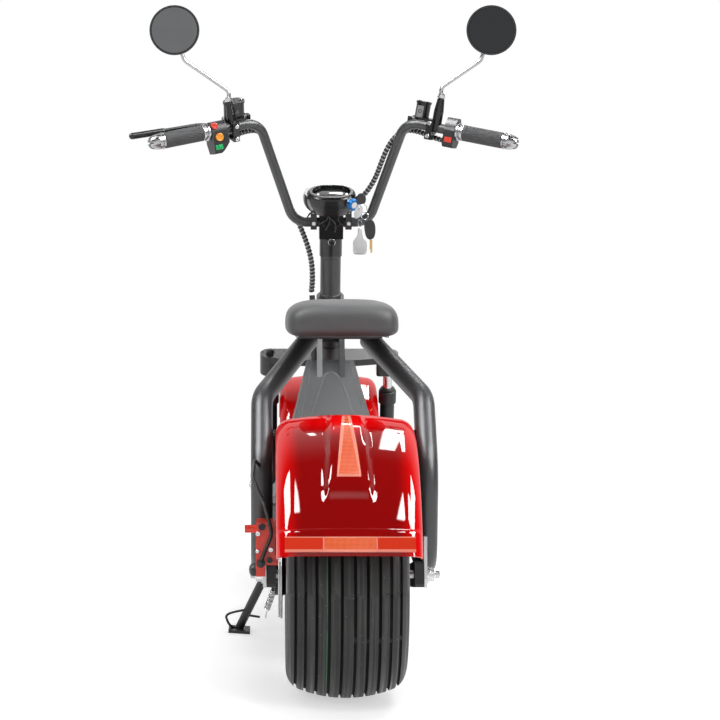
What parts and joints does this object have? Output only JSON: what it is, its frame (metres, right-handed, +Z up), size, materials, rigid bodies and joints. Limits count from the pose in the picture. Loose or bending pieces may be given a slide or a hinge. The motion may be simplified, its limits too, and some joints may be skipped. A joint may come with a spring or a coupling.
{
  "type": "electric scooter",
  "caption": "Step-through electric scooter with fat tyres, looped tube frame, padded saddle, high handlebar, fenders, mirrors and a side stand it leans on.",
  "frame": {"origin": "on the floor, under the middle of the parked scooter's bounding box", "axes": "+Z up, +Y the way the scooter drives, +X its right side"},
  "size_m": [0.8696, 1.7795, 1.3862],
  "materials": {
    "bar_grey": "satin dark grey paint",
    "bare_steel": "ground steel",
    "black_plastic": "moulded plastic",
    "button_red": "red and orange moulded buttons",
    "caliper_orange": "gloss orange-red anodised",
    "chrome": "bright plate",
    "clear_lens": "clear lamp glass",
    "glass": "dark display glass",
    "grey_panel": "satin grey paint",
    "gunmetal": "satin metallic grey paint",
    "loom_black": "spiral wrapped cable",
    "mirror": "silvered glass",
    "orange_lens": "prismatic orange lens",
    "red_lens": "clear red lens",
    "red_paint": "gloss red paint",
    "rim_black": "satin black paint",
    "rubber": "dark moulded rubber",
    "saddle_grey": "grained grey cover",
    "satin_black": "satin black powder coat",
    "silver_plastic": "silver painted plastic",
    "tyre": "matt, lightly dusty rubber"
  },
  "bodies": {
    "frame": {"frame_tube_left": "gunmetal", "frame_tube_right": "gunmetal", "deck_plate": "gunmetal", "deck_mat": "rubber", "battery_box": "satin_black", "neck": "grey_panel", "head_tube": "gunmetal", "head_gussets": "grey_panel", "rear_arms": "satin_black", "arm_lugs": "satin_black", "rear_axle": "bare_steel", "rear_fender": "red_paint", "tail_lamp": "red_lens", "reflector_strip": "orange_lens", "fender_stays": "satin_black", "axle_plates": "bare_steel", "frame_cords": "loom_black", "saddle": "saddle_grey", "seat_base": "black_plastic", "rear_caliper": "caliper_orange", "stand_bracket": "satin_black"},
    "steering": {"column": "gunmetal", "head_block": "satin_black", "bar_clamps": "satin_black", "fork_crown": "satin_black", "stanchions": "bare_steel", "fork_legs": "satin_black", "front_axle": "bare_steel", "front_fender": "red_paint", "front_caliper": "caliper_orange", "handlebar": "bar_grey", "grips": "rubber", "grip_caps": "chrome", "switch_pod": "black_plastic", "throttle_housing": "black_plastic", "buttons": "button_red", "master_cylinders": "satin_black", "brake_levers": "satin_black", "mirror_stems": "chrome", "mirror_heads": "black_plastic", "mirror_glasses": "mirror", "instrument_pod": "silver_plastic", "pod_lip": "black_plastic", "pod_glass": "glass", "ignition_lock": "bare_steel", "bar_looms": "loom_black", "headlamp": "satin_black", "headlamp_lens": "clear_lens"},
    "front_wheel": {"front_tyre": "tyre", "front_rim": "rim_black", "front_brake_disc": "bare_steel"},
    "rear_wheel": {"rear_tyre": "tyre", "rear_rim": "rim_black", "hub_motor": "rim_black", "rear_brake_disc": "bare_steel"},
    "stand": {"side_stand": "satin_black"}
  },
  "joints": [
    {"name": "steering_turn", "type": "hinge", "parent": "frame", "child": "steering", "pos_m": [0.069, 0.63064, 0.22905], "axis": [-0.0647, -0.3746, 0.9249], "range_deg": [-38, 38]},
    {"name": "front_wheel_spin", "type": "hinge", "parent": "steering", "child": "front_wheel", "pos_m": [0.069, 0.663, 0.22905], "axis": [0.9976, 0, 0.0698], "continuous": true},
    {"name": "rear_wheel_spin", "type": "hinge", "parent": "frame", "child": "rear_wheel", "pos_m": [0.069, -0.587, 0.22905], "axis": [0.9976, 0, 0.0698], "continuous": true},
    {"name": "stand_fold", "type": "hinge", "parent": "frame", "child": "stand", "pos_m": [-0.07842, -0.117, 0.12953], "axis": [-0.9966, -0.0762, 0.0308], "range_deg": [0, 110]}
  ]
}
